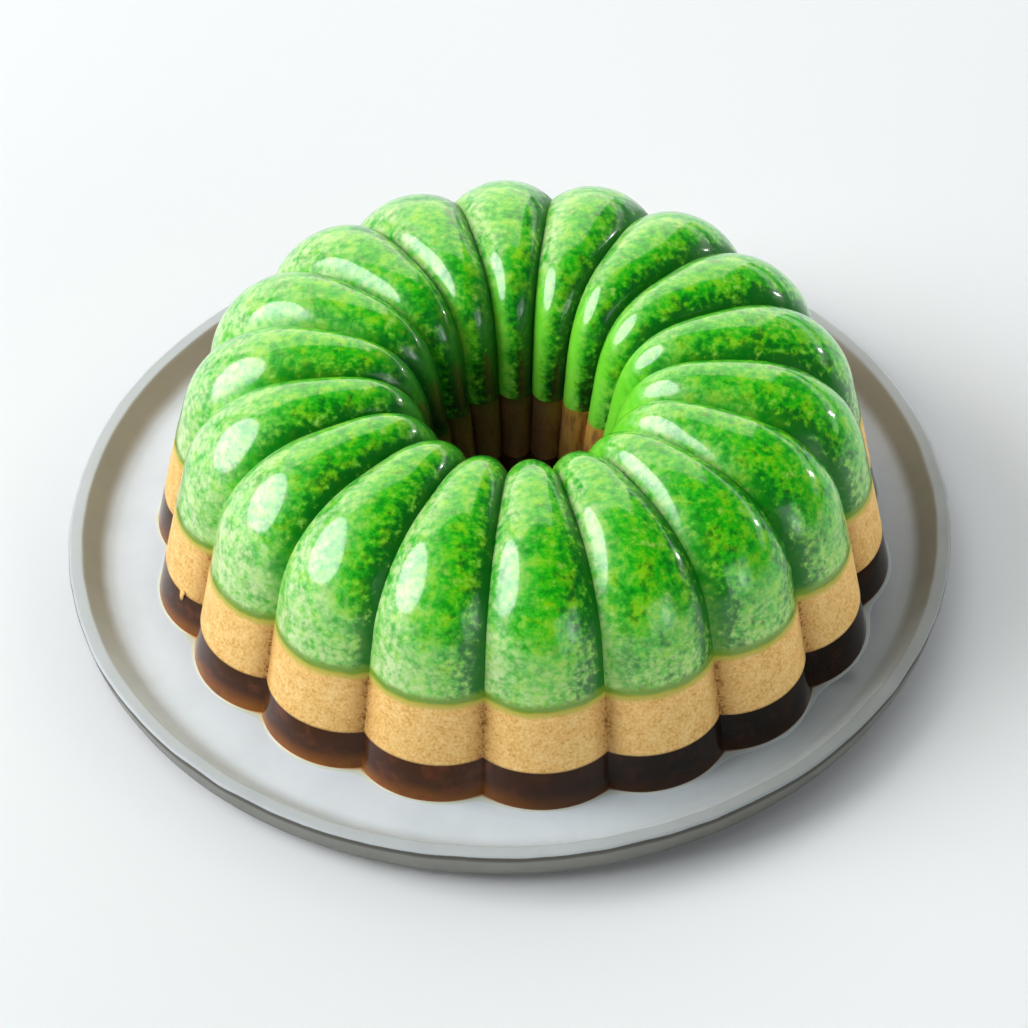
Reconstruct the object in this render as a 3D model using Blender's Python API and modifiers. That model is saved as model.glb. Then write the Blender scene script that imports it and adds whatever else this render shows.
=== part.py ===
"""A moulded jelly ring in three set layers, standing on its stoneware plate. Metres, +Z up.

The origin is the middle of the plate's underside. The fluted ring comes from one lobed mould, so all
three layers are cut from the same wall, crown and inner wall, and each is a closed body of its own.
"""

import math

import bmesh
import bpy

MM = 0.001

# The plate, hand thrown: a flat well, a short raised side and a narrow lip.
PLATE_RADIUS = 137.5 * MM
PLATE_OVALITY = 1.8 * MM  # how far the long half-axis stands out, and the short one falls short
PLATE_LONG_AXIS = math.radians(61.9)
LIP_TOP = 16.0 * MM
LIP_WIDTH = 3.7 * MM
WELL_TOP = 8.0 * MM
SIDE_SLOPE = math.radians(46.0)
WELL_FILLET = 7.6 * MM
LIP_INNER_FILLET = 1.3 * MM
LIP_EDGE_ROUND = 1.1 * MM
WALL_FOOT_RADIUS = 134.2 * MM
WALL_FOOT_HEIGHT = 5.3 * MM
FOOT_OUTER = 102.5 * MM
FOOT_INNER = 95.0 * MM
FOOT_ROOT = 2.6 * MM
UNDERSIDE_RECESS = 1.8 * MM
PLATE_STEPS = 72
FILLET_STEPS = 3

# The ring mould's lobes.
LOBES = 18
SEGMENTS_PER_LOBE = 8
FIRST_CREASE = math.radians(3.75)
RING_CENTRE_X = 3.5 * MM
RING_CENTRE_Y = 0.2 * MM

# The ring's section along the crest of a lobe, with heights above the plate's well.
BASE_RADIUS = 113.7 * MM
OUTER_DRAFT = math.radians(11.3)
HOLE_RADIUS = 20.2 * MM
HOLE_DRAFT = math.radians(8.5)
RING_HEIGHT = 77.1 * MM
SHOULDER_HEIGHT = 46.2 * MM
CROWN_RADIUS = 62.7 * MM
OUTER_POWER = 2.3
INNER_POWER = 2.9
CROWN_ROWS = 10

# How deep the creases between lobes go, and how round a lobe's back is (1 is a half circle).
OUTER_CREASE = 5.9 * MM
TOP_CREASE = 6.0 * MM
HOLE_CREASE = 3.4 * MM
OUTER_ROUNDNESS = 1.46
TOP_ROUNDNESS = 1.12

# The layers, with the gap that keeps neighbouring bodies apart.
BROWN_TOP = 13.3 * MM
TAN_TOP = 35.1 * MM
GAP = 0.3 * MM


def clear_scene():
    for old in list(bpy.data.objects):
        bpy.data.objects.remove(old, do_unlink=True)


def make_collection(name):
    collection = bpy.data.collections.new(name)
    bpy.context.scene.collection.children.link(collection)
    return collection


def make_material(name, colour, roughness):
    material = bpy.data.materials.new(name)
    material.use_nodes = True
    shader = material.node_tree.nodes["Principled BSDF"]
    shader.inputs["Base Color"].default_value = (*colour, 1.0)
    shader.inputs["Roughness"].default_value = roughness
    shader.inputs["Metallic"].default_value = 0.0
    return material


def mix(a, b, share):
    return a + (b - a) * share


def arc(centre_r, centre_z, radius, start_deg, end_deg, steps):
    """Points of an arc in the section plane, from start to end, both included."""
    points = []
    for i in range(steps + 1):
        angle = math.radians(mix(start_deg, end_deg, i / steps))
        points.append((centre_r + radius * math.cos(angle), centre_z + radius * math.sin(angle)))
    return points


def plate_section():
    """Half the plate's section: from the middle of the well, out over the lip and back underneath."""
    slope_deg = math.degrees(SIDE_SLOPE)
    lip_inner = PLATE_RADIUS - LIP_WIDTH

    # The raised side is a straight run that meets the lip and the well in round fillets.
    knee_r = lip_inner - LIP_INNER_FILLET * math.sin(SIDE_SLOPE)
    knee_z = LIP_TOP - LIP_INNER_FILLET * (1 - math.cos(SIDE_SLOPE))
    toe_z = WELL_TOP + WELL_FILLET * (1 - math.cos(SIDE_SLOPE))
    toe_r = knee_r - (knee_z - toe_z) / math.tan(SIDE_SLOPE)
    fillet_r = toe_r - WELL_FILLET * math.sin(SIDE_SLOPE)

    section = [(0.0, WELL_TOP)]
    section += arc(fillet_r, WELL_TOP + WELL_FILLET, WELL_FILLET, -90, -90 + slope_deg, FILLET_STEPS)
    section += arc(lip_inner, LIP_TOP - LIP_INNER_FILLET, LIP_INNER_FILLET, 90 + slope_deg, 90, FILLET_STEPS)
    section += arc(
        PLATE_RADIUS - LIP_EDGE_ROUND, LIP_TOP - LIP_EDGE_ROUND, LIP_EDGE_ROUND, 90, 0, FILLET_STEPS
    )
    section.append((mix(WALL_FOOT_RADIUS, PLATE_RADIUS, 0.6), mix(WALL_FOOT_HEIGHT, LIP_TOP, 0.4)))
    section.append((WALL_FOOT_RADIUS, WALL_FOOT_HEIGHT))
    section.append((mix(FOOT_OUTER, WALL_FOOT_RADIUS, 0.8), mix(FOOT_ROOT, WALL_FOOT_HEIGHT, 0.5)))
    section.append((FOOT_OUTER, FOOT_ROOT))
    section.append((FOOT_OUTER, 0.0))
    section.append((FOOT_INNER, 0.0))
    section.append((FOOT_INNER, UNDERSIDE_RECESS))
    section.append((0.0, UNDERSIDE_RECESS))
    return section


def make_plate(collection, material):
    mesh = bpy.data.meshes.new("plate")
    points = [(r, 0.0, z) for r, z in plate_section()]
    edges = [(i, i + 1) for i in range(len(points) - 1)]
    mesh.from_pydata(points, edges, [])
    plate = bpy.data.objects.new("plate", mesh)
    collection.objects.link(plate)
    plate.data.materials.append(material)

    turn = plate.modifiers.new("turn", "SCREW")
    turn.axis = "Z"
    turn.angle = math.tau
    turn.steps = PLATE_STEPS
    turn.render_steps = PLATE_STEPS
    turn.use_merge_vertices = True
    turn.merge_threshold = 0.00001
    turn.use_smooth_shade = True

    plate.rotation_euler.z = PLATE_LONG_AXIS
    plate.scale.x = 1 + PLATE_OVALITY / PLATE_RADIUS
    plate.scale.y = 1 - PLATE_OVALITY / PLATE_RADIUS
    return plate


def outer_wall(height):
    return BASE_RADIUS - height * math.tan(OUTER_DRAFT)


def inner_wall(height):
    return HOLE_RADIUS + height * math.tan(HOLE_DRAFT)


def lobe_bulge(across, roundness):
    """1 on a lobe's crest (across = 0) falling round to 0 in the creases (across = -1 and 1)."""
    edge = math.sqrt(roundness**2 - 1)
    return (math.sqrt(roundness**2 - across**2) - edge) / (roundness - edge)


def wall_row(height, is_outer):
    """One level row of the outer or the inner wall: crest radius, height, outward tilt, crease, roundness."""
    if is_outer:
        return outer_wall(height), height, 0.0, OUTER_CREASE / math.cos(OUTER_DRAFT), OUTER_ROUNDNESS
    return inner_wall(height), height, math.pi, HOLE_CREASE / math.cos(HOLE_DRAFT), TOP_ROUNDNESS


def crown_row(angle):
    """One row of the crown, which runs from the outer wall (angle 0) over the top to the inner (pi)."""
    is_outer = angle <= math.pi / 2
    power = 2 / (OUTER_POWER if is_outer else INNER_POWER)
    height = mix(SHOULDER_HEIGHT, RING_HEIGHT, math.sin(angle) ** power)
    wall = outer_wall(height) if is_outer else inner_wall(height)
    radius = CROWN_RADIUS + (wall - CROWN_RADIUS) * abs(math.cos(angle)) ** power
    # The creases are measured square to the surface, whose tilt follows the angle closely.
    over = angle / (math.pi / 2)
    if is_outer:
        crease = mix(OUTER_CREASE, TOP_CREASE, over)
        roundness = mix(OUTER_ROUNDNESS, TOP_ROUNDNESS, over)
        tilt = mix(OUTER_DRAFT, math.pi / 2, over)
    else:
        crease = mix(TOP_CREASE, HOLE_CREASE, over - 1)
        roundness = TOP_ROUNDNESS
        tilt = mix(math.pi / 2, math.pi - HOLE_DRAFT, over - 1)
    return radius, height, tilt, crease, roundness


def fluted_ring(row):
    """The points of one row around the whole ring, on its lobes and in its creases."""
    radius, height, tilt, crease, roundness = row
    points = []
    for i in range(LOBES * SEGMENTS_PER_LOBE):
        across = 2 * (i % SEGMENTS_PER_LOBE) / SEGMENTS_PER_LOBE - 1
        sunk = crease * (1 - lobe_bulge(across, roundness))
        r = radius - sunk * math.cos(tilt)
        z = height - sunk * math.sin(tilt)
        around = FIRST_CREASE + math.tau * i / (LOBES * SEGMENTS_PER_LOBE)
        points.append((r * math.cos(around), r * math.sin(around), z))
    return points


def make_layer(name, rows, collection, material):
    """A ring-shaped body lofted through its rows, the last of which joins up with the first."""
    shell = bmesh.new()
    loops = [[shell.verts.new(point) for point in fluted_ring(row)] for row in rows]
    count = LOBES * SEGMENTS_PER_LOBE
    for k, loop in enumerate(loops):
        following = loops[(k + 1) % len(loops)]
        for i in range(count):
            j = (i + 1) % count
            shell.faces.new((loop[i], loop[j], following[j], following[i]))
    bmesh.ops.recalc_face_normals(shell, faces=shell.faces)

    mesh = bpy.data.meshes.new(name)
    shell.to_mesh(mesh)
    shell.free()
    mesh.shade_smooth()
    mesh.set_sharp_from_angle(angle=math.radians(40))
    mesh.materials.append(material)
    layer = bpy.data.objects.new(name, mesh)
    layer.location = (RING_CENTRE_X, RING_CENTRE_Y, WELL_TOP)
    collection.objects.link(layer)
    return layer


def band_rows(bottom, top):
    return [wall_row(bottom, True), wall_row(top, True), wall_row(top, False), wall_row(bottom, False)]


def dome_rows(bottom):
    rows = [wall_row(bottom, True)]
    for i in range(CROWN_ROWS + 1):
        rows.append(crown_row(math.pi * i / CROWN_ROWS))
    rows.append(wall_row(bottom, False))
    return rows


def main():
    clear_scene()
    collection = make_collection("moulded_jelly")
    stoneware = make_material("stoneware", (0.55, 0.58, 0.58), 0.45)
    brown_jelly = make_material("brown_jelly", (0.05, 0.018, 0.008), 0.1)
    tan_jelly = make_material("tan_jelly", (0.72, 0.42, 0.16), 0.25)
    green_jelly = make_material("green_jelly", (0.18, 0.5, 0.04), 0.12)

    make_plate(collection, stoneware)
    make_layer("brown_layer", band_rows(GAP, BROWN_TOP - GAP / 2), collection, brown_jelly)
    make_layer("tan_layer", band_rows(BROWN_TOP + GAP / 2, TAN_TOP - GAP / 2), collection, tan_jelly)
    make_layer("green_layer", dome_rows(TAN_TOP + GAP / 2), collection, green_jelly)


main()
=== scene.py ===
"""The looks of a moulded jelly ring in three set layers, standing on its stoneware plate.

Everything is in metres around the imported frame. The jelly is one lobed form, cut level into a brown, a
tan and a green layer. Each is a closed body of its own that meets the next one on a slightly wavy line.
"""

import math

import bmesh
import bpy
import numpy as np
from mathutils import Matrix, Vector, noise


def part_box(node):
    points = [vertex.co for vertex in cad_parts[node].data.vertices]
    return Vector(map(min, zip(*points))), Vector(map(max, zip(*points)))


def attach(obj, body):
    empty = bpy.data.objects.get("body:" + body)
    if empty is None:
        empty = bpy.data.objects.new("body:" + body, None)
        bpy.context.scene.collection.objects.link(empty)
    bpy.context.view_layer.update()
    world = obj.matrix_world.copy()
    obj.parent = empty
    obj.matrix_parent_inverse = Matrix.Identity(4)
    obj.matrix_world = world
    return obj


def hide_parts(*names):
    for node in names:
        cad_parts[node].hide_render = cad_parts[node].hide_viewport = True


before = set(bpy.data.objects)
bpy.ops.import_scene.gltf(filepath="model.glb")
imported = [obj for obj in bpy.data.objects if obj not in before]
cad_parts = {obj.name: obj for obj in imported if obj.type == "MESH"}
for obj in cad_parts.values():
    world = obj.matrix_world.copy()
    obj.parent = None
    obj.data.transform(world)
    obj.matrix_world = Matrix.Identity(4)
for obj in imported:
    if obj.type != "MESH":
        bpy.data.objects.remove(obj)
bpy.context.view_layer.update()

MM = 0.001

# ---------------------------------------------------------------- sizes

# Taken from the frame. The mould's heights are above the plate's well.
PLATE_LOW, PLATE_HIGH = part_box("plate")
_, BROWN_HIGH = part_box("brown_layer")
TAN_LOW, TAN_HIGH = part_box("tan_layer")
GREEN_LOW, GREEN_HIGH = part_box("green_layer")

WELL_THICKNESS = 8.0 * MM
RIM_CLEARANCE = 0.1 * MM
LIP_TOP = PLATE_HIGH.z
WELL_TOP = PLATE_LOW.z + WELL_THICKNESS
PLATE_RADIUS = (PLATE_HIGH.x + PLATE_HIGH.y) / 2 - RIM_CLEARANCE
RING_CENTRE = Vector(((GREEN_LOW.x + GREEN_HIGH.x) / 2, (GREEN_LOW.y + GREEN_HIGH.y) / 2, WELL_TOP))
RING_HEIGHT = GREEN_HIGH.z - WELL_TOP
BROWN_TOP = (BROWN_HIGH.z + TAN_LOW.z) / 2 - WELL_TOP
TAN_TOP = (TAN_HIGH.z + GREEN_LOW.z) / 2 - WELL_TOP

# The mould's form, the same as the solids'.
LOBES = 18
FIRST_CREASE = math.radians(3.75)
BASE_RADIUS = 113.7 * MM
OUTER_DRAFT = math.radians(11.3)
HOLE_RADIUS = 20.2 * MM
HOLE_DRAFT = math.radians(8.5)
SHOULDER_HEIGHT = 46.2 * MM
CROWN_RADIUS = 62.7 * MM
OUTER_POWER = 2.3
INNER_POWER = 2.9
OUTER_CREASE = 5.9 * MM
TOP_CREASE = 6.0 * MM
HOLE_CREASE = 3.4 * MM
OUTER_ROUNDNESS = 1.46
TOP_ROUNDNESS = 1.12

# The plate's section and its oval, the same as the solid's.
LIP_WIDTH = 3.7 * MM
SIDE_SLOPE = math.radians(46.0)
WELL_FILLET = 7.6 * MM
LIP_INNER_FILLET = 1.3 * MM
LIP_EDGE_ROUND = 1.1 * MM
WALL_FOOT_RADIUS = 134.2 * MM
WALL_FOOT_HEIGHT = 5.3 * MM
FOOT_OUTER = 102.5 * MM
FOOT_INNER = 95.0 * MM
FOOT_ROOT = 2.6 * MM
UNDERSIDE_RECESS = 1.8 * MM
PLATE_OVALITY = 1.8 * MM
PLATE_LONG_AXIS = math.radians(61.9)

# How far the thrown rim, the set green surface and the seams stray from true.
RIM_UNEVENNESS = 0.55 * MM
GREEN_UNEVENNESS = 0.5 * MM
SEAM_WAVER = 0.35 * MM

# How finely the looks are meshed.
SEGMENTS_PER_LOBE = 28
PLATE_SEGMENTS = 360
WELD_DISTANCE = 0.001 * MM
SHARP_EDGE = math.radians(50)

# Every place around the ring, how far across its lobe it lies (-1 and 1 in the creases), and its angle.
AROUND = np.arange(LOBES * SEGMENTS_PER_LOBE)
ACROSS = 2 * (AROUND % SEGMENTS_PER_LOBE) / SEGMENTS_PER_LOBE - 1
ANGLES = FIRST_CREASE + math.tau * AROUND / len(AROUND)
ZEROS = 0 * ANGLES


def mix(a, b, share):
    return a + (b - a) * share


def smooth_step(value, low, high):
    share = np.clip((value - low) / (high - low), 0, 1)
    return share * share * (3 - 2 * share)


def wander(points, broad_per_metre, fine_per_metre, fine_share):
    """A random drift over the points, about -1 to 1: a broad one with a finer one laid over it."""
    broad = [noise.noise(Vector(p) * broad_per_metre) for p in points]
    fine = [noise.noise(Vector(p) * fine_per_metre) for p in points]
    return np.array(broad) + fine_share * np.array(fine)


# ---------------------------------------------------------------- meshes


def loft(name, points, closed_section, attributes, material):
    """A mesh through a grid of points [row, place around, xyz], closed around.

    A closed section also joins its last row to its first.
    """
    rows, around = points.shape[:2]
    index = np.arange(rows * around).reshape(rows, around)
    following = np.roll(index, -1, axis=0) if closed_section else index[1:]
    first = index if closed_section else index[:-1]
    corners = [first, np.roll(first, -1, axis=1), np.roll(following, -1, axis=1), following]
    quads = np.stack(corners, axis=-1).reshape(-1, 4)
    mesh = bpy.data.meshes.new(name)
    mesh.from_pydata(points.reshape(-1, 3).tolist(), [], quads.tolist())
    for label, values in attributes.items():
        layer = mesh.attributes.new(label, "FLOAT", "POINT")
        layer.data.foreach_set("value", np.ascontiguousarray(values, np.float32).reshape(-1))
    mesh.shade_smooth()
    mesh.materials.append(material)
    piece = bpy.data.objects.new(name, mesh)
    bpy.context.scene.collection.objects.link(piece)
    return piece


def face_outwards(piece):
    """Turns every face so that its body's volume comes out positive."""
    shell = bmesh.new()
    shell.from_mesh(piece.data)
    if shell.calc_volume(signed=True) < 0:
        bmesh.ops.reverse_faces(shell, faces=shell.faces)
        shell.to_mesh(piece.data)
    shell.free()


def close_body(piece):
    """Welds points that lie together, fills open ends and faces the body outwards."""
    shell = bmesh.new()
    shell.from_mesh(piece.data)
    bmesh.ops.remove_doubles(shell, verts=shell.verts, dist=WELD_DISTANCE)
    bmesh.ops.holes_fill(shell, edges=shell.edges)
    shell.to_mesh(piece.data)
    shell.free()
    face_outwards(piece)


def finish_ring(name, points, attributes, material):
    """A closed ring-shaped body from its rows of points around the ring's centre."""
    piece = loft(name, points + np.array(RING_CENTRE), True, attributes, material)
    face_outwards(piece)
    piece.data.set_sharp_from_angle(angle=SHARP_EDGE)
    return piece


# ---------------------------------------------------------------- the jelly ring


def outer_wall(height):
    return BASE_RADIUS - height * math.tan(OUTER_DRAFT)


def inner_wall(height):
    return HOLE_RADIUS + height * math.tan(HOLE_DRAFT)


def lobe_bulge(across, roundness):
    """1 on a lobe's crest (across = 0) falling round to 0 in the creases (across = -1 and 1)."""
    edge = np.sqrt(roundness**2 - 1)
    return (np.sqrt(roundness**2 - across**2) - edge) / (roundness - edge)


def wall_row(height, is_outer, lean=0.0):
    """One row of a wall: crest radius, height, tilt of the crease's sink, crease depth, roundness."""
    if is_outer:
        tilt = OUTER_DRAFT * lean
        crease = OUTER_CREASE / math.cos(OUTER_DRAFT - tilt)
        return outer_wall(height), height, tilt, crease, OUTER_ROUNDNESS
    tilt = math.pi - HOLE_DRAFT * lean
    crease = HOLE_CREASE / math.cos(HOLE_DRAFT * (1 - lean))
    return inner_wall(height), height, tilt, crease, TOP_ROUNDNESS


def crown_row(angle):
    """One row of the crown, which runs from the outer wall (angle 0) over the top to the inner (pi)."""
    is_outer = angle <= math.pi / 2
    power = 2 / (OUTER_POWER if is_outer else INNER_POWER)
    height = mix(SHOULDER_HEIGHT, RING_HEIGHT, math.sin(angle) ** power)
    wall = outer_wall(height) if is_outer else inner_wall(height)
    radius = CROWN_RADIUS + (wall - CROWN_RADIUS) * abs(math.cos(angle)) ** power
    # The creases are measured square to the surface, whose tilt follows the angle closely.
    over = angle / (math.pi / 2)
    if is_outer:
        tilt = mix(OUTER_DRAFT, math.pi / 2, over)
        crease = mix(OUTER_CREASE, TOP_CREASE, over)
        roundness = mix(OUTER_ROUNDNESS, TOP_ROUNDNESS, over)
    else:
        tilt = mix(math.pi / 2, math.pi - HOLE_DRAFT, over - 1)
        crease = mix(TOP_CREASE, HOLE_CREASE, over - 1)
        roundness = TOP_ROUNDNESS
    return radius, height, tilt, crease, roundness


def band_rows(bottom, top, steps):
    """The rows of a level band: up the outer wall and down the inner one."""
    heights = [mix(bottom, top, i / steps) for i in range(steps + 1)]
    return [wall_row(h, True) for h in heights] + [wall_row(h, False) for h in reversed(heights)]


def dome_rows(bottom, wall_steps, crown_steps):
    """The rows of the domed top: up the outer wall, over the crown and down the inner wall."""
    shares = [i / wall_steps for i in range(wall_steps)]
    rows = [wall_row(mix(bottom, SHOULDER_HEIGHT, s), True, s) for s in shares]
    rows += [crown_row(math.pi * i / crown_steps) for i in range(crown_steps + 1)]
    rows += [wall_row(mix(bottom, SHOULDER_HEIGHT, s), False, s) for s in reversed(shares)]
    return rows


def fluted_rows(rows):
    """Points [row, place around, xyz] of the lobed form, and how deep in a crease each lies (0 to 1)."""
    radius, height, tilt, crease, roundness = (np.array(column)[:, None] for column in zip(*rows))
    sunk = 1 - lobe_bulge(ACROSS[None, :], roundness)
    r = radius - crease * sunk * np.cos(tilt)
    z = height - crease * sunk * np.sin(tilt)
    points = np.stack([r * np.cos(ANGLES), r * np.sin(ANGLES), z], axis=-1)
    return points, sunk


def inside_share(rows):
    """0 on the outer side of the ring, rising over the crown's inner slope to 1 down in the hole."""
    radius = np.array([row[0] for row in rows])[:, None]
    return smooth_step(-radius, -CROWN_RADIUS * 0.8, -CROWN_RADIUS * 0.45) + ZEROS


def seam_waver(points, depth):
    """How far a seam between two layers wanders up and down along its line."""
    return depth * wander(points, 160, 520, 0.6)


def make_layer(name, rows, material, low_waver=0.0, high_waver=0.0, unevenness=0.0):
    """One closed layer of the ring. The first and last rows are its bottom seam, outside and inside.

    The wavers are how far its two seams wander, and the unevenness is how deep its surface may sink.
    """
    points, sunk = fluted_rows(rows)
    height = points[..., 2].copy()
    if unevenness:
        # The set surface is never quite true: it sinks gently here and there, and never swells.
        foot = rows[0][1]
        centre = np.stack([CROWN_RADIUS * np.cos(ANGLES), CROWN_RADIUS * np.sin(ANGLES), ZEROS + foot], -1)
        inward = centre[None] - points
        inward /= np.linalg.norm(inward, axis=-1, keepdims=True)
        drift = wander(points.reshape(-1, 3), 38, 95, 0.5).reshape(height.shape)
        fade = smooth_step(height, foot, foot + 12 * MM)
        points = points + inward * ((drift * 0.5 + 0.5) * unevenness * fade)[..., None]
    if low_waver:
        for i in (0, -1):
            points[i, :, 2] += seam_waver(points[i], low_waver)
    if high_waver:
        top = max(row[1] for row in rows)
        for i, row in enumerate(rows):
            if row[1] == top:
                points[i, :, 2] += seam_waver(points[i], high_waver)
    attributes = {"crease": sunk, "rise": height / RING_HEIGHT, "inside": inside_share(rows)}
    return finish_ring(name, points, attributes, material)


def make_syrup_ring(material):
    """A thin wet skirt round the ring's foot, which fills the corners between the lobes."""
    steps = 8
    height = 0.9 * MM
    foot, sunk = fluted_rows([wall_row(0.0, True)])
    high, _ = fluted_rows([wall_row(height, True)])
    foot, high, sunk = foot[0], high[0], sunk[0]
    # It reaches out about a millimetre from a lobe, and over three where two lobes meet.
    width = (0.9 + 0.6 * wander(foot, 70, 300, 0.5) + 2.6 * sunk**3) * MM
    outward = np.stack([np.cos(ANGLES), np.sin(ANGLES), ZEROS], axis=-1)
    rows = []
    out = []
    for i in range(steps + 1):
        share = i / steps
        row = mix(high - outward * 0.3 * MM, foot + outward * width[:, None], share)
        row[:, 2] = height * (1 - share) ** 2.4 * (1 - 0.5 * sunk) + 0.03 * MM
        rows.append(row)
        out.append(ZEROS + share)
    under = foot - outward * 1.0 * MM
    under[:, 2] = 0.01 * MM
    rows.append(under)
    out.append(ZEROS)
    return finish_ring("crept_syrup_ring", np.array(rows), {"out": np.array(out)}, material)


def make_tan_drip(material):
    """One small drip of the tan layer, which hangs down into the brown on a lobe at the side."""
    angle = math.radians(-160.4)
    across = ((angle - FIRST_CREASE) * LOBES / math.pi) % 2 - 1
    sunk = 1 - lobe_bulge(across, OUTER_ROUNDNESS)
    outward = np.array([math.cos(angle), math.sin(angle), 0.0])
    sideward = np.array([-math.sin(angle), math.cos(angle), 0.0])
    turns = math.tau * np.arange(16) / 16
    steps = 12
    rows = []
    for i in range(steps + 1):
        share = i / steps
        # From a millimetre above the seam it hangs down, narrow in its middle and round at its end.
        height = BROWN_TOP + (1.0 - 3.8 * share) * MM
        wall = outer_wall(height) - OUTER_CREASE * sunk - 0.1 * MM
        swell = math.sqrt(max(1 - share**4, 0.0)) * (1 - 0.3 * math.sin(math.pi * share))
        wide = np.cos(turns)[:, None] * 2.0 * MM * swell * sideward
        thick = np.sin(turns)[:, None] * 0.6 * MM * swell * outward
        rows.append(outward * wall + wide + thick + np.array([0, 0, height]))
    points = np.array(rows) + np.array(RING_CENTRE)
    # It is coloured as the tan 2 mm higher up, clear of the edge that the brown has stained.
    rise = (points[..., 2] - WELL_TOP + 2 * MM) / RING_HEIGHT
    drip = loft("tan_drip", points, False, {"rise": rise}, material)
    close_body(drip)
    return drip


# ---------------------------------------------------------------- the plate

# How far along the section each stretch of it ends, for the glaze: 0 is the middle of the well, and 1
# is the middle of the underside.
WELL_REACH = 0.30
TOE_REACH = 0.42
SIDE_REACH = 0.50
LIP_REACH = 0.54
EDGE_REACH = (0.56, 0.62)


def arc(centre_r, centre_z, radius, start_deg, end_deg, steps):
    """Points of an arc in the section plane, from start to end, both included."""
    angles = [math.radians(mix(start_deg, end_deg, i / steps)) for i in range(steps + 1)]
    return [(centre_r + radius * math.cos(a), centre_z + radius * math.sin(a)) for a in angles]


def with_reach(points, start, end):
    """The points with their reach, which grows evenly from start to end."""
    last = len(points) - 1
    return [(*point, mix(start, end, i / last)) for i, point in enumerate(points)]


def plate_section():
    """The plate's section from its middle over the lip and back underneath: radius, height and reach."""
    slope_deg = math.degrees(SIDE_SLOPE)
    lip_inner = PLATE_RADIUS - LIP_WIDTH

    # The raised side is a straight run that meets the lip and the well in round fillets.
    knee_r = lip_inner - LIP_INNER_FILLET * math.sin(SIDE_SLOPE)
    knee_z = LIP_TOP - LIP_INNER_FILLET * (1 - math.cos(SIDE_SLOPE))
    toe_z = WELL_TOP + WELL_FILLET * (1 - math.cos(SIDE_SLOPE))
    toe_r = knee_r - (knee_z - toe_z) / math.tan(SIDE_SLOPE)
    fillet_r = toe_r - WELL_FILLET * math.sin(SIDE_SLOPE)

    well = [(fillet_r * i / 12, WELL_TOP, WELL_REACH * i / 12) for i in range(12)]
    toe = arc(fillet_r, WELL_TOP + WELL_FILLET, WELL_FILLET, -90, -90 + slope_deg, 8)
    shares = [i / 6 for i in range(1, 6)]
    side = [(mix(toe_r, knee_r, s), mix(toe_z, knee_z, s), mix(TOE_REACH, SIDE_REACH, s)) for s in shares]
    knee = arc(lip_inner, LIP_TOP - LIP_INNER_FILLET, LIP_INNER_FILLET, 90 + slope_deg, 90, 6)
    edge = arc(PLATE_RADIUS - LIP_EDGE_ROUND, LIP_TOP - LIP_EDGE_ROUND, LIP_EDGE_ROUND, 90, 0, 8)
    bulge_r = mix(WALL_FOOT_RADIUS, PLATE_RADIUS, 0.6)
    bulge_z = mix(WALL_FOOT_HEIGHT, LIP_TOP, 0.4)
    below = [
        (mix(PLATE_RADIUS, bulge_r, 0.4), mix(LIP_TOP, bulge_z, 0.5), 0.66),
        (bulge_r, bulge_z, 0.70),
        (mix(bulge_r, WALL_FOOT_RADIUS, 0.6), mix(bulge_z, WALL_FOOT_HEIGHT, 0.6), 0.74),
        (WALL_FOOT_RADIUS, WALL_FOOT_HEIGHT, 0.78),
        (mix(FOOT_OUTER, WALL_FOOT_RADIUS, 0.8), mix(FOOT_ROOT, WALL_FOOT_HEIGHT, 0.5), 0.82),
        (FOOT_OUTER, FOOT_ROOT, 0.9),
        (FOOT_OUTER, 0.0, 0.92),
        (FOOT_INNER, 0.0, 0.94),
        (FOOT_INNER, UNDERSIDE_RECESS, 0.96),
        (20 * MM, UNDERSIDE_RECESS, 0.98),
        (0.0, UNDERSIDE_RECESS, 1.0),
    ]
    section = well + with_reach(toe, WELL_REACH, TOE_REACH) + side
    section += with_reach(knee, SIDE_REACH, LIP_REACH) + with_reach(edge, *EDGE_REACH)
    return section + below


def noise_on_circle(angle, radius, level):
    return noise.noise(Vector((radius * math.cos(angle), radius * math.sin(angle), level)))


def make_plate(material):
    section = np.array(plate_section())
    angles = math.tau * np.arange(PLATE_SEGMENTS) / PLATE_SEGMENTS
    r, z, reach = (section[:, i][:, None] for i in range(3))
    # The hand-finished rim dips and draws in a little here and there, and never stands out.
    dip = np.array([noise_on_circle(a, 9, 0) + 0.7 * noise_on_circle(a, 3, 7) for a in angles])
    pull = np.array([noise_on_circle(a, 14, 3) + 0.8 * noise_on_circle(a, 4, 5) for a in angles])
    outermost = smooth_step(r, PLATE_RADIUS - 12 * MM, PLATE_RADIUS - 2 * MM)
    at_rim = outermost * smooth_step(z, WELL_TOP, LIP_TOP)
    z = z - RIM_UNEVENNESS * at_rim * (0.5 + 0.5 * dip)[None, :]
    r = r - RIM_UNEVENNESS * at_rim * (0.5 + 0.5 * pull)[None, :]
    oval = 1 + PLATE_OVALITY / PLATE_RADIUS * np.cos(2 * (angles - PLATE_LONG_AXIS))[None, :]
    points = np.stack([r * oval * np.cos(angles), r * oval * np.sin(angles), z + 0 * angles], axis=-1)
    plate = loft("plate_stoneware", points, False, {"reach": reach + 0 * angles}, material)
    close_body(plate)
    plate.data.set_sharp_from_angle(angle=SHARP_EDGE)
    return plate


# ---------------------------------------------------------------- material workshop


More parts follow.
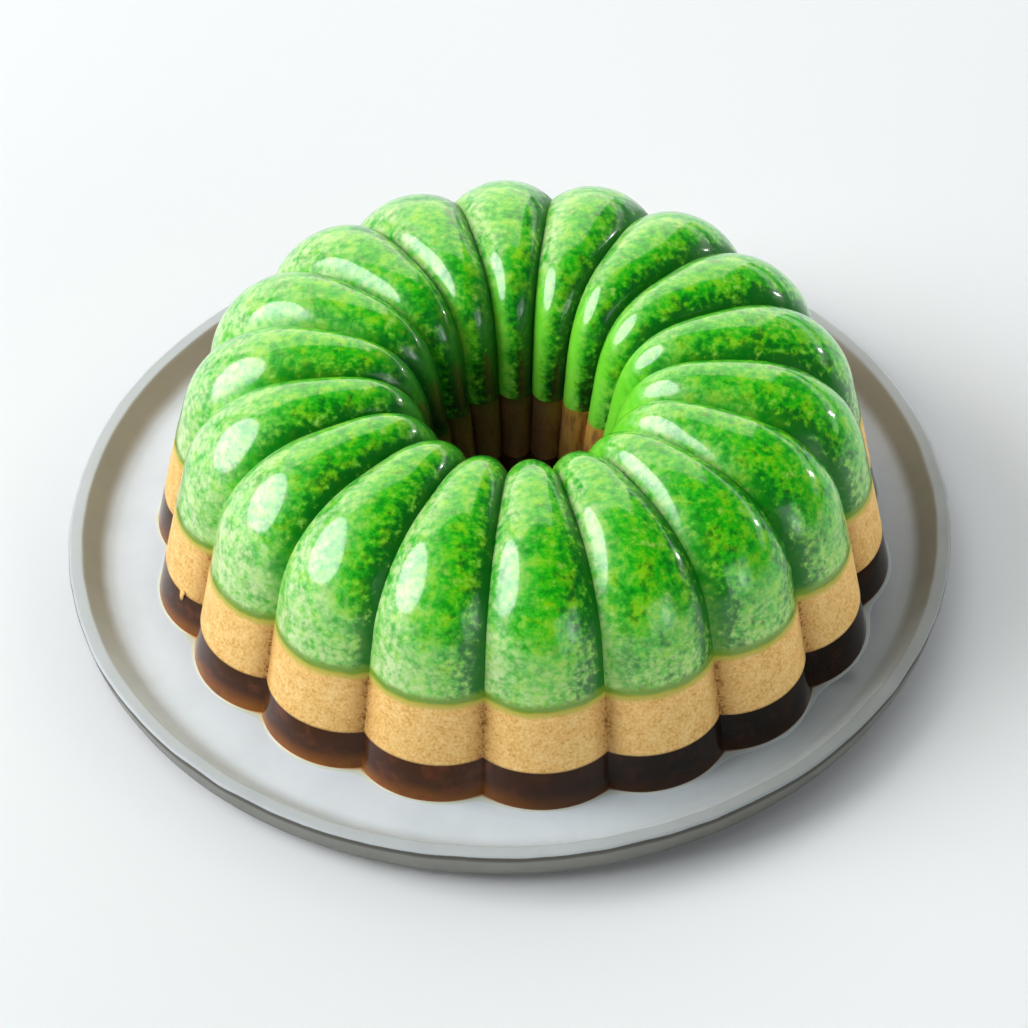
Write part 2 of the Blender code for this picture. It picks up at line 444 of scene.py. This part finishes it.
class Recipe:
    """Adds nodes to one node tree and joins them, so that a material reads as a list of steps."""

    def __init__(self, tree):
        self.tree = tree

    def node(self, kind, settings=None, **inputs):
        made = self.tree.nodes.new(kind)
        for key, value in (settings or {}).items():
            setattr(made, key, value)
        for key, value in inputs.items():
            self.put(made, key.replace("_", " "), value)
        return made

    def put(self, made, key, value):
        """Gives an input, called by its name or its number, a value or the output that feeds it."""
        socket = made.inputs[int(key)] if key.isdigit() else made.inputs[key]
        if isinstance(value, bpy.types.NodeSocket):
            self.tree.links.new(value, socket)
        else:
            socket.default_value = value

    def math(self, operation, a, b):
        made = self.node("ShaderNodeMath", {"operation": operation})
        self.put(made, "0", a)
        self.put(made, "1", b)
        return made.outputs[0]

    def plus(self, a, b):
        return self.math("ADD", a, b)

    def minus(self, a, b):
        return self.math("SUBTRACT", a, b)

    def times(self, first, *others):
        for other in others:
            first = self.math("MULTIPLY", first, other)
        return first

    def larger(self, a, b):
        return self.math("MAXIMUM", a, b)

    def centred(self, value, width, middle=0.5):
        """A value that lies around its middle, moved to lie around nought and made wider."""
        return self.times(self.minus(value, middle), width)

    def vector_math(self, operation, *inputs):
        made = self.node("ShaderNodeVectorMath", {"operation": operation})
        for number, value in enumerate(inputs):
            self.put(made, str(number), value)
        return made.outputs

    def spread(self, value, low, high, out_low=0.0, out_high=1.0):
        """Value from low..high spread smoothly onto out_low..out_high."""
        made = self.node("ShaderNodeMapRange", {"interpolation_type": "SMOOTHSTEP"})
        for number, given in enumerate((value, low, high, out_low, out_high)):
            self.put(made, str(number), given)
        return made.outputs[0]

    def blend(self, share, a, b, how="MIX"):
        """Colour a with a share of colour b."""
        made = self.node("ShaderNodeMix", {"data_type": "RGBA", "blend_type": how, "clamp_factor": True})
        self.put(made, "0", share)
        for key, colour in (("6", a), ("7", b)):
            self.put(made, key, (*colour, 1.0) if isinstance(colour, tuple) else colour)
        return made.outputs[2]

    def ramp(self, value, stops):
        """The colour of a value, from a list of places and colours."""
        made = self.node("ShaderNodeValToRGB", Fac=value)
        ramp = made.color_ramp
        while len(ramp.elements) < len(stops):
            ramp.elements.new(1.0)
        for element, (place, colour) in zip(ramp.elements, stops):
            element.position = place
            element.color = (*colour, 1.0)
        return made.outputs[0]

    def noise(self, place, per_metre, detail, roughness=0.5, output=0):
        made = self.node(
            "ShaderNodeTexNoise", Vector=place, Scale=per_metre, Detail=detail, Roughness=roughness
        )
        return made.outputs[output]

    def attribute(self, label):
        return self.node("ShaderNodeAttribute", {"attribute_name": label}).outputs["Fac"]

    def place(self):
        """The place on the object, in metres."""
        return self.node("ShaderNodeTexCoord").outputs["Object"]

    def facing(self, axis):
        """How far the surface faces along one of the object's own axes, from -1 to 1."""
        outward = self.node("ShaderNodeTexCoord").outputs["Normal"]
        return self.node("ShaderNodeSeparateXYZ", Vector=outward).outputs[axis]

    def along(self, place, axis, start, end):
        """0 to 1 between two places along one of the object's own axes."""
        return self.spread(self.node("ShaderNodeSeparateXYZ", Vector=place).outputs[axis], start, end)

    def group(self, tree, **inputs):
        made = self.tree.nodes.new("ShaderNodeGroup")
        made.node_tree = tree
        for key, value in inputs.items():
            self.put(made, key.replace("_", " "), value)
        return made.outputs


ORIGIN = (0.0, 0.0, 0.0)


def make_group(name, inputs, outputs):
    """An empty shader group with named inputs and number outputs, and its recipe."""
    tree = bpy.data.node_groups.new(name, "ShaderNodeTree")
    for label, value in inputs.items():
        kind = "NodeSocketVector" if isinstance(value, tuple) else "NodeSocketFloat"
        socket = tree.interface.new_socket(name=label, in_out="INPUT", socket_type=kind)
        socket.default_value = value
    for label in outputs:
        tree.interface.new_socket(name=label, in_out="OUTPUT", socket_type="NodeSocketFloat")
    given = tree.nodes.new("NodeGroupInput").outputs
    asked = tree.nodes.new("NodeGroupOutput")
    return tree, Recipe(tree), given, asked


def make_fleck_group():
    """Flecks gathered in clusters of a larger size. Curdled ones are round, the others ragged."""
    inputs = {
        "Place": ORIGIN,
        "Flecks per Metre": 900.0,
        "Clusters per Metre": 180.0,
        "Gathering": 0.5,
        "Curdled": 0.0,
    }
    tree, r, given, asked = make_group("Flecks", inputs, ["Mask"])
    place = given["Place"]
    per_metre = given["Flecks per Metre"]
    ragged = r.noise(place, per_metre, 3.0, 0.62)
    # Round curds come from smoothed cells, whose places are shaken first so that they don't line up.
    shake = (1.6 * MM, 1.6 * MM, 1.6 * MM)
    shaken = r.vector_math("MULTIPLY_ADD", r.noise(place, per_metre, 2.0, 0.6, "Color"), shake, place)[0]
    cells = r.node(
        "ShaderNodeTexVoronoi", {"feature": "SMOOTH_F1"}, Vector=shaken, Scale=per_metre, Smoothness=0.7
    )
    curdled = r.spread(cells.outputs["Distance"], 0.15, 0.75, 0.78, 0.22)
    shape = r.node("ShaderNodeMix", {"data_type": "FLOAT"})
    for key, value in (("0", given["Curdled"]), ("2", ragged), ("3", curdled)):
        r.put(shape, key, value)
    clusters = r.noise(place, given["Clusters per Metre"], 3.0, 0.6)
    r.put(asked, "Mask", r.plus(shape.outputs[0], r.centred(clusters, given["Gathering"])))
    return tree


def make_seam_group():
    """Clear green jelly along the seam over the tan layer: an olive line and a yellower edge.

    Above Seam is a height in millimetres, and Ragged is how far the line's upper edge is torn.
    """
    inputs = {"Place": ORIGIN, "Above Seam": 0.0, "Ragged": 3.0}
    tree, r, given, asked = make_group("Seam", inputs, ["Olive", "Yellow"])
    up = r.plus(given["Above Seam"], r.centred(r.noise(given["Place"], 110.0, 2.0, 0.6), 2.0))
    torn = r.centred(r.noise(given["Place"], 800.0, 3.0, 0.7), given["Ragged"])
    top = r.spread(r.plus(up, torn), 0.8, 3.1, 1.0, 0.0)
    r.put(asked, "Olive", r.times(top, r.spread(up, -1.2, 0.4)))
    r.put(asked, "Yellow", r.times(top, r.spread(up, -3.2, -1.2)))
    return tree


def make_speck_group():
    """A few small round specks: one in a share of the cells of a random lattice."""
    inputs = {"Place": ORIGIN, "Cells per Metre": 100.0, "Size": 0.1, "Share": 0.1}
    tree, r, given, asked = make_group("Specks", inputs, ["Mask"])
    cells = r.node("ShaderNodeTexVoronoi", Vector=given["Place"], Scale=given["Cells per Metre"])
    near = r.math("LESS_THAN", cells.outputs["Distance"], given["Size"])
    drawn = r.math("LESS_THAN", cells.outputs["Color"], given["Share"])
    r.put(asked, "Mask", r.times(near, drawn))
    return tree


def make_wet_skin_group():
    """The slow waves of a wet set surface, with a faint finer grain under them, as a relief."""
    inputs = {"Place": ORIGIN, "Waves per Metre": 120.0, "Grain per Metre": 900.0, "Grain": 0.1}
    tree, r, given, asked = make_group("Wet Skin", inputs, ["Relief"])
    waves = r.noise(given["Place"], given["Waves per Metre"], 1.0, 0.4)
    grain = r.noise(given["Place"], given["Grain per Metre"], 2.0, 0.5)
    r.put(asked, "Relief", r.plus(waves, r.times(grain, given["Grain"])))
    return tree


FLECKS = make_fleck_group()
SEAM = make_seam_group()
SPECKS = make_speck_group()
WET_SKIN = make_wet_skin_group()


def start_material(name):
    material = bpy.data.materials.new(name)
    material.use_nodes = True
    return material, Recipe(material.node_tree), material.node_tree.nodes["Principled BSDF"]


def set_gloss(shader, **values):
    """The shader's own plain numbers, the same all over the surface."""
    for key, value in values.items():
        shader.inputs[key.replace("_", " ")].default_value = value


def add_relief(r, shader, height, strength, distance):
    bump = r.node("ShaderNodeBump", Strength=strength, Distance=distance, Height=height)
    r.put(shader, "Normal", bump.outputs[0])


def above_seam(r, rise, line):
    """The height over a seam in millimetres."""
    return r.times(r.minus(rise, line / RING_HEIGHT), RING_HEIGHT / MM)


# ---------------------------------------------------------------- the materials

# Colours that two pieces share.
OLIVE_SEAM = (0.165, 0.31, 0.018)
GLAZE = (0.705, 0.77, 0.815)

# The greens: clear jelly, its curds, and the painted shade of creases and hole, with painted light on the
# hole's side towards the window.
DEEP_CLEAR = (0.001, 0.37, 0.001)
MIDDLE_CLEAR = (0.016, 0.53, 0.001)
BRIGHT_CLEAR = (0.23, 0.65, 0.002)
BETWEEN_CURDS = (0.001, 0.26, 0.003)
YELLOW_CURD = (0.25, 0.65, 0.010)
SETTLED_CURD = (0.53, 0.76, 0.23)
PALE_CURD_AND_DAYLIGHT = (0.64, 0.77, 0.40)
CREASE_SHADE_GREEN = (0.001, 0.14, 0.007)
HOLE_SHADE_GREEN = (0.001, 0.085, 0.012)
HOLE_DEPTH_SHADE_GREEN = (0.001, 0.020, 0.006)
LIT_HOLE_GREEN = (0.22, 0.82, 0.035)


def make_green_jelly():
    material, r, shader = start_material("curdled_green_jelly")
    place = r.place()
    rise = r.attribute("rise")
    crease = r.attribute("crease")
    inside = r.attribute("inside")
    facing = r.facing("X")

    def fading_inside(left):
        """1 on the outer side of the ring, falling to what is left of it in the hole."""
        return r.spread(inside, 0.0, 1.0, 1.0, left)

    # Clear jelly in soft patches of deep and bright green.
    patches = r.noise(place, 190.0, 4.0, 0.66)
    clear = r.ramp(patches, [(0.37, DEEP_CLEAR), (0.50, MIDDLE_CLEAR), (0.65, BRIGHT_CLEAR)])
    curds = r.group(
        FLECKS,
        Place=place,
        Flecks_per_Metre=450.0,
        Clusters_per_Metre=130.0,
        Gathering=0.6,
        Curdled=0.15,
    )["Mask"]
    colour = r.blend(r.spread(curds, 0.30, 0.46, 0.30, 0.0), clear, BETWEEN_CURDS)
    colour = r.blend(r.spread(curds, 0.46, 0.76, 0.0, 0.75), colour, YELLOW_CURD)

    # Pale curds float in it, thin over the crown. Painted light: they are painted thick on the side that
    # faces the window, where daylight falls through the jelly.
    low_down = r.spread(rise, 0.48, 0.84, 1.0, 0.0)
    lit = r.plus(r.spread(facing, -0.9, 0.25, 0.78, 0.05), r.times(low_down, 0.2))
    painted_light_milkiness = r.times(lit, fading_inside(0.5))
    curds_and_painted_light = r.times(r.spread(curds, 0.26, 0.72), r.spread(painted_light_milkiness, 0.0, 1.15))
    curds_and_painted_light = r.larger(curds_and_painted_light, r.spread(curds, 0.57, 0.82, 0.0, 0.3))

    # Finer grains of curd have settled at the foot of the lobes.
    grains = r.group(
        FLECKS,
        Place=place,
        Flecks_per_Metre=620.0,
        Clusters_per_Metre=250.0,
        Gathering=0.5,
        Curdled=0.35,
    )["Mask"]
    settled = r.times(
        low_down,
        r.spread(grains, 0.37, 0.64, 0.15, 0.85),
        r.spread(facing, -0.3, 0.55, 0.68, 0.95),
        fading_inside(0.2),
    )
    colour = r.blend(settled, colour, SETTLED_CURD)
    colour = r.blend(curds_and_painted_light, colour, PALE_CURD_AND_DAYLIGHT)

    # The creases are darker where the jelly lies thick, and darker still on the side away from the window,
    # which is painted shade. Down in the hole, the side away from the window and the depths have painted
    # shade, and the inner wall that faces the window has painted light. The curds fray the edge of the
    # dark.
    fray = r.centred(curds, 2.0, middle=0.45)
    creased = r.spread(r.minus(crease, fray), -0.02, 0.62)
    colour = r.blend(r.times(creased, r.spread(facing, -0.4, 0.25, 0.08, 0.95)), colour, CREASE_SHADE_GREEN)
    turned = r.minus(facing, fray)
    shaded = r.times(inside, r.spread(turned, -0.55, 0.4, 0.0, 0.93))
    colour = r.blend(shaded, colour, HOLE_SHADE_GREEN)
    hole_depth_shade = r.times(
        inside, r.spread(turned, -0.7, 0.3, 0.05, 1.0), r.spread(rise, 0.80, 0.50, 0.0, 0.85)
    )
    colour = r.blend(hole_depth_shade, colour, HOLE_DEPTH_SHADE_GREEN)
    colour = r.blend(r.times(inside, r.spread(facing, -0.9, -0.1, 0.8, 0.0)), colour, LIT_HOLE_GREEN)
    seam = r.group(SEAM, Place=place, Above_Seam=above_seam(r, rise, TAN_TOP))
    colour = r.blend(r.times(seam["Olive"], fading_inside(0.1)), colour, OLIVE_SEAM)
    r.put(shader, "Base Color", colour)

    # A wet skin lies over it, thinner down in the creases. The curds are duller than the clear jelly.
    r.put(shader, "Roughness", r.spread(r.larger(curds_and_painted_light, settled), 0.0, 1.0, 0.35, 0.6))
    r.put(shader, "Coat Weight", r.spread(crease, 0.4, 0.85, 1.0, 0.15))
    set_gloss(shader, Specular_IOR_Level=0.1, Coat_Roughness=0.11, Coat_IOR=1.52)
    skin = r.group(WET_SKIN, Place=place, Waves_per_Metre=80.0, Grain_per_Metre=650.0, Grain=0.05)
    add_relief(r, shader, skin["Relief"], 0.5, 0.3 * MM)
    return material


# The tans: sandy grain, creases with painted shade, and what the green and the brown have left on its
# edges.
DARK_SAND = (0.70, 0.37, 0.095)
SAND = (0.88, 0.54, 0.18)
LIGHT_SAND = (0.96, 0.69, 0.30)
CREASE_SHADE_TAN = (0.42, 0.20, 0.045)
SCORCHED_TAN = (0.12, 0.040, 0.012)
YELLOW_EDGE = (0.50, 0.47, 0.07)
BLED_BROWN = (0.20, 0.09, 0.03)
SHADED_HOLE_TAN = (0.060, 0.022, 0.016)
LIT_HOLE_TAN = (0.62, 0.31, 0.065)
STAIN_STREAK = (0.13, 0.040, 0.022)


def make_tan_jelly():
    material, r, shader = start_material("sandy_tan_jelly")
    place = r.place()
    rise = r.attribute("rise")
    crease = r.attribute("crease")
    inside = r.attribute("inside")
    sand = r.group(
        FLECKS, Place=place, Flecks_per_Metre=1100.0, Clusters_per_Metre=260.0, Gathering=0.5
    )["Mask"]
    colour = r.ramp(sand, [(0.30, DARK_SAND), (0.48, SAND), (0.72, LIGHT_SAND)])
    # Painted shade darkens the creases, and small dark specks lie at their bottoms.
    colour = r.blend(r.spread(crease, 0.35, 1.0, 0.0, 0.65), colour, CREASE_SHADE_TAN)
    scorched = r.times(r.spread(crease, 0.72, 1.0), r.spread(sand, 0.50, 0.40), 0.7)
    colour = r.blend(scorched, colour, SCORCHED_TAN)
    seam = r.group(SEAM, Place=place, Above_Seam=above_seam(r, rise, TAN_TOP))
    colour = r.blend(r.times(seam["Yellow"], 0.85), colour, YELLOW_EDGE)
    colour = r.blend(seam["Olive"], colour, OLIVE_SEAM)

    # The brown layer has bled a little into its lower edge. Down in the hole the tan has painted shade on
    # the side away from the window and painted light on the side towards it, with darker streaks over
    # both.
    bled = r.spread(above_seam(r, rise, BROWN_TOP), 0.0, 0.7, 0.55, 0.0)
    colour = r.blend(bled, colour, BLED_BROWN)
    hole_shade_and_streaks = r.blend(r.along(place, "X", 8 * MM, 24 * MM), SHADED_HOLE_TAN, LIT_HOLE_TAN)
    drawn_out = r.node("ShaderNodeMapping", Vector=place, Scale=(1.0, 1.0, 0.2)).outputs[0]
    streaks = r.spread(r.noise(drawn_out, 420.0, 3.0, 0.6), 0.45, 0.62, 0.0, 0.7)
    hole_shade_and_streaks = r.blend(streaks, hole_shade_and_streaks, STAIN_STREAK)
    colour = r.blend(r.times(inside, 0.9), colour, hole_shade_and_streaks)
    r.put(shader, "Base Color", colour)

    set_gloss(shader, Roughness=0.45, Specular_IOR_Level=0.12)
    skin = r.group(WET_SKIN, Place=place, Waves_per_Metre=90.0, Grain_per_Metre=1100.0, Grain=0.35)
    add_relief(r, shader, skin["Relief"], 0.4, 0.2 * MM)
    return material


# The browns, painted lit on the side towards the window and painted shaded on the side away from it.
LIT_BROWN = (0.058, 0.021, 0.007)
MIDDLE_BROWN = (0.058, 0.020, 0.007)
SHADED_BROWN = (0.010, 0.006, 0.0035)
AMBER_GLOW = (0.27, 0.09, 0.011)
AMBER_EDGE_GLOW = (0.36, 0.165, 0.03)
RED_BROWN = (0.15, 0.042, 0.014)
BUBBLE_BROWN = (0.45, 0.26, 0.14)


def make_brown_jelly():
    material, r, shader = start_material("clear_brown_jelly")
    place = r.place()
    height = r.times(r.attribute("rise"), RING_HEIGHT / MM)
    across = r.along(place, "X", -105 * MM, 60 * MM)
    body = r.ramp(across, [(0.0, LIT_BROWN), (0.6, MIDDLE_BROWN), (1.0, SHADED_BROWN)])
    # Painted light: an amber glow at its foot and a brighter amber line at its very edge, where light
    # would come through the thin jelly, most of all on the side towards the window.
    uneven = r.plus(height, r.centred(r.noise(place, 55.0, 2.0, 0.5), 6.0))
    painted_glow = r.times(r.spread(uneven, 0.0, 7.0, 1.0, 0.0), r.spread(across, 0.3, 1.0, 1.0, 0.10))
    colour = r.blend(painted_glow, body, AMBER_GLOW)
    edge = r.times(r.spread(height, 0.2, 0.9, 1.0, 0.0), r.spread(across, 0.3, 0.95, 1.0, 0.2))
    colour = r.blend(edge, colour, AMBER_EDGE_GLOW)
    reddish = r.spread(r.noise(place, 130.0, 3.0, 0.6), 0.48, 0.68)
    colour = r.blend(r.times(reddish, r.spread(across, 0.4, 0.9, 0.65, 0.1)), colour, RED_BROWN)
    bubbles = r.group(SPECKS, Place=place, Cells_per_Metre=130.0, Size=0.055, Share=0.05)["Mask"]
    colour = r.blend(r.times(bubbles, 0.5), colour, BUBBLE_BROWN)
    r.put(shader, "Base Color", colour)

    set_gloss(shader, Roughness=0.14, IOR=1.36, Specular_IOR_Level=0.38)
    skin = r.group(WET_SKIN, Place=place, Waves_per_Metre=70.0, Grain_per_Metre=500.0, Grain=0.04)
    add_relief(r, shader, skin["Relief"], 0.35, 0.25 * MM)
    return material


SHADED_SYRUP = (0.12, 0.035, 0.010)
LIT_SYRUP = (0.62, 0.31, 0.05)
SHADED_FILM = (0.58, 0.61, 0.56)
LIT_FILM = (0.60, 0.64, 0.50)


def make_syrup_film():
    """Jelly that has crept out onto the plate: amber against the ring, clear and pale further out."""
    material, r, shader = start_material("crept_syrup")
    out = r.attribute("out")
    # Painted light and shade: lighter on the side towards the window, shaded on the far side.
    lit = r.along(r.place(), "X", 60 * MM, -90 * MM)
    amber = r.blend(lit, SHADED_SYRUP, LIT_SYRUP)
    film = r.blend(lit, SHADED_FILM, LIT_FILM)
    colour = r.blend(r.spread(out, 0.12, 0.42), amber, film)
    r.put(shader, "Base Color", r.blend(r.spread(out, 0.55, 1.0), colour, GLAZE))
    set_gloss(shader, Roughness=0.35, Specular_IOR_Level=0.15)
    return material


# The plate's glaze: a taupe on the sloping side, which is painted shade, and dark bare clay at the lip's
# edge.
SHADED_SIDE_TAUPE = (0.42, 0.41, 0.345)
DEEP_SHADED_TAUPE = (0.40, 0.39, 0.33)
INNER_LIP_GREY = (0.50, 0.535, 0.55)
OUTER_LIP_GREY = (0.50, 0.535, 0.545)
BARE_EDGE = (0.10, 0.095, 0.080)
BELOW_EDGE = (0.12, 0.115, 0.10)
WALL_GREY = (0.27, 0.27, 0.245)
UNDERSIDE_GREY = (0.20, 0.20, 0.18)
PINHOLE = (0.10, 0.10, 0.09)

# Shades that the glaze is multiplied by.
PAINTED_SHADE_TINT = (0.5, 0.5, 0.48)
CLOUDED = (0.45, 0.48, 0.48)
DARKENED_PATCH = (0.30, 0.29, 0.26)

# The side of the plate that gets painted shade, away from the window.
SHADE_BEARING = math.radians(-30)
SHADE_SIDE = (math.cos(SHADE_BEARING), math.sin(SHADE_BEARING), 0.0)
DARK_PATCH_PLACE = (100.8 * MM, -59.5 * MM, 8.0 * MM)


def make_stoneware():
    material, r, shader = start_material("speckled_stoneware")
    place = r.place()
    clouds = r.noise(place, 45.0, 5.0, 0.6)
    # From the well over the side, whose taupe is painted shade, to the lip, and down the bare outer wall.
    reach = r.plus(r.attribute("reach"), r.centred(clouds, 0.035))
    colour = r.ramp(
        reach,
        [
            (0.0, GLAZE),
            (0.36, GLAZE),
            (0.43, SHADED_SIDE_TAUPE),
            (0.49, DEEP_SHADED_TAUPE),
            (0.54, INNER_LIP_GREY),
            (0.598, OUTER_LIP_GREY),
            (0.606, BARE_EDGE),
            (0.635, BELOW_EDGE),
            (0.66, WALL_GREY),
            (0.76, UNDERSIDE_GREY),
        ],
    )
    # On the near side the sloping side keeps the well's colour, without the painted shade.
    near_side_unshaded = r.times(r.spread(reach, 0.505, 0.525, 1.0, 0.0), r.spread(r.facing("Y"), 0.1, 0.45))
    colour = r.blend(near_side_unshaded, colour, GLAZE)
    # Painted shade darkens the glaze towards the side away from the window, and the glaze is cloudy all
    # over.
    towards = r.vector_math("DOT_PRODUCT", place, SHADE_SIDE)["Value"]
    colour = r.blend(r.spread(towards, 75 * MM, 130 * MM, 0.0, 0.75), colour, PAINTED_SHADE_TINT, "MULTIPLY")
    colour = r.blend(r.spread(clouds, 0.3, 0.75, 0.0, 0.16), colour, CLOUDED, "MULTIPLY")
    pinholes = r.group(SPECKS, Place=place, Cells_per_Metre=75.0, Size=0.045, Share=0.10)["Mask"]
    colour = r.blend(r.times(pinholes, 0.75), colour, PINHOLE)
    # One darker patch beside the ring.
    away = r.plus(r.vector_math("DISTANCE", place, DARK_PATCH_PLACE)["Value"], r.times(clouds, 18 * MM))
    colour = r.blend(r.spread(away, 9 * MM, 15 * MM, 0.45, 0.0), colour, DARKENED_PATCH, "MULTIPLY")
    r.put(shader, "Base Color", colour)

    r.put(shader, "Roughness", r.spread(clouds, 0.3, 0.7, 0.36, 0.5))
    set_gloss(shader, Specular_IOR_Level=0.12)
    add_relief(r, shader, r.noise(place, 60.0, 2.0, 0.5), 0.3, 0.3 * MM)
    return material


# ---------------------------------------------------------------- stage, light and camera

FLOOR_HALF_WIDTH = 4.0
PALE_FLOOR = (0.825, 0.835, 0.845)
PALER_FLOOR = (0.845, 0.855, 0.865)

CAMERA_ELEVATION = math.radians(44.51)
CAMERA_DISTANCE = 1451.55 * MM
CAMERA_ASIDE = -2.39 * MM
CAMERA_RAISED = 7.51 * MM
CAMERA_LENS_MM = 163.85
CAMERA_SENSOR_MM = 36.0

# Light in the room that shades the matt colours and isn't mirrored, all from the same distance: its
# name, its azimuth and elevation, its width and height in degrees, and its radiance.
DAYLIGHT_DISTANCE = 2.8
DAYLIGHT_COLOUR = (0.985, 1.0, 1.0)
DAYLIGHTS = [
    ("window_daylight", (185, 35), (42, 26), 8.7),
    ("sky_upper_left", (200, 64), (50, 40), 1.18),
    ("floor_side_behind", (60, 9), (60, 28), 4.1),
    ("wall_daylight", (110, 30), (60, 30), 0.45),
    ("sky_behind", (90, 50), (70, 40), 0.8),
    ("room_right", (0, 14), (60, 30), 0.6),
    ("room_front_right", (-45, 14), (50, 30), 1.8),
]

# Bright things that the gloss mirrors: the same, with each one's distance, colour and outline.
MIRRORED = [
    ("window_mirrored", (185, 34), 1.6, (60, 46), 9.0, (0.95, 0.77, 1.0), "ELLIPSE"),
    ("sill_mirrored", (185, 4), 1.65, (90, 18), 1.6, (1.0, 0.97, 0.94), "RECTANGLE"),
    ("pale_wall_mirrored", (101, 27), 2.4, (66, 68), 2.4, (1.0, 0.80, 0.72), "RECTANGLE"),
    ("card_mirrored", (-48, 12), 1.7, (38, 34), 1.5, (0.95, 1.0, 1.0), "RECTANGLE"),
    ("card_middle_mirrored", (-44, 12), 1.6, (12, 18), 2.6, (0.95, 1.0, 1.0), "ELLIPSE"),
    ("low_wall_mirrored", (38, 12), 1.9, (60, 9), 1.4, (1.0, 0.94, 0.88), "RECTANGLE"),
    ("small_lamp_mirrored", (26, 12), 1.75, (1.6, 1.6), 240.0, (1.0, 1.0, 1.0), "RECTANGLE"),
]

ROOM_COLOUR = (0.80, 0.93, 1.0, 1.0)
ROOM_STRENGTH = 0.06


def make_floor():
    material, r, shader = start_material("pale_floor")
    cloud = r.noise(r.place(), 1.5, 1.0)
    r.put(shader, "Base Color", r.ramp(cloud, [(0.3, PALE_FLOOR), (0.7, PALER_FLOOR)]))
    set_gloss(shader, Roughness=1.0, Specular_IOR_Level=0.0)
    mesh = bpy.data.meshes.new("floor")
    corners = [
        (x * FLOOR_HALF_WIDTH, y * FLOOR_HALF_WIDTH, 0) for x, y in ((-1, -1), (1, -1), (1, 1), (-1, 1))
    ]
    mesh.from_pydata(corners, [], [(0, 1, 2, 3)])
    mesh.materials.append(material)
    floor = bpy.data.objects.new("floor", mesh)
    bpy.context.scene.collection.objects.link(floor)


def bearing(azimuth_deg, elevation_deg):
    azimuth, elevation = math.radians(azimuth_deg), math.radians(elevation_deg)
    level = math.cos(elevation)
    return Vector((level * math.cos(azimuth), level * math.sin(azimuth), math.sin(elevation)))


def make_light(name, place_deg, distance, span_deg, radiance, colour, shape="RECTANGLE"):
    """A soft light that spans the given angles, seen from the jelly."""
    width, height = (2 * distance * math.tan(math.radians(span / 2)) for span in span_deg)
    data = bpy.data.lights.new(name, "AREA")
    data.shape = shape
    data.size, data.size_y = width, height
    data.energy = radiance * math.pi * width * height * (math.pi / 4 if shape == "ELLIPSE" else 1)
    data.color = colour
    lamp = bpy.data.objects.new(name, data)
    target = RING_CENTRE + Vector((0, 0, RING_HEIGHT * 0.6))
    lamp.location = target + bearing(*place_deg) * distance
    lamp.rotation_euler = (target - lamp.location).to_track_quat("-Z", "Y").to_euler()
    bpy.context.scene.collection.objects.link(lamp)
    return lamp


def make_lights():
    for name, place_deg, span_deg, radiance in DAYLIGHTS:
        lamp = make_light(name, place_deg, DAYLIGHT_DISTANCE, span_deg, radiance, DAYLIGHT_COLOUR)
        lamp.visible_glossy = False
    for light in MIRRORED:
        lamp = make_light(*light)
        lamp.visible_diffuse = False

    world = bpy.data.worlds.new("soft_room")
    bpy.context.scene.world = world
    world.use_nodes = True
    background = world.node_tree.nodes["Background"]
    background.inputs["Color"].default_value = ROOM_COLOUR
    background.inputs["Strength"].default_value = ROOM_STRENGTH


def make_camera():
    data = bpy.data.cameras.new("camera")
    data.sensor_width = CAMERA_SENSOR_MM
    data.lens = CAMERA_LENS_MM
    camera = bpy.data.objects.new("camera", data)
    forward = Vector((0, math.cos(CAMERA_ELEVATION), -math.sin(CAMERA_ELEVATION)))
    upward = Vector((0, math.sin(CAMERA_ELEVATION), math.cos(CAMERA_ELEVATION)))
    shifted = Vector((CAMERA_ASIDE, 0, 0)) + upward * CAMERA_RAISED
    camera.location = RING_CENTRE - forward * CAMERA_DISTANCE + shifted
    camera.rotation_euler = (math.pi / 2 - CAMERA_ELEVATION, 0, 0)
    bpy.context.scene.collection.objects.link(camera)
    bpy.context.scene.camera = camera


# ---------------------------------------------------------------- putting it together


def stand_for(piece, node):
    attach(piece, "root")
    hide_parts(node)


def ride_along(piece):
    """A small detail which stands for no part of its own."""
    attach(piece, "root")


def main():
    make_camera()
    make_floor()
    make_lights()
    bpy.context.scene.view_settings.view_transform = "Standard"

    plate = make_plate(make_stoneware())
    stand_for(plate, "plate")

    brown = make_layer("brown_jelly_ring", band_rows(0.0, BROWN_TOP, 12), make_brown_jelly())
    stand_for(brown, "brown_layer")

    tan_jelly = make_tan_jelly()
    tan = make_layer(
        "tan_jelly_ring", band_rows(BROWN_TOP, TAN_TOP, 16), tan_jelly, high_waver=SEAM_WAVER
    )
    stand_for(tan, "tan_layer")
    ride_along(make_tan_drip(tan_jelly))
    ride_along(make_syrup_ring(make_syrup_film()))

    green = make_layer(
        "green_jelly_ring",
        dome_rows(TAN_TOP, 14, 110),
        make_green_jelly(),
        low_waver=SEAM_WAVER,
        unevenness=GREEN_UNEVENNESS,
    )
    stand_for(green, "green_layer")


main()
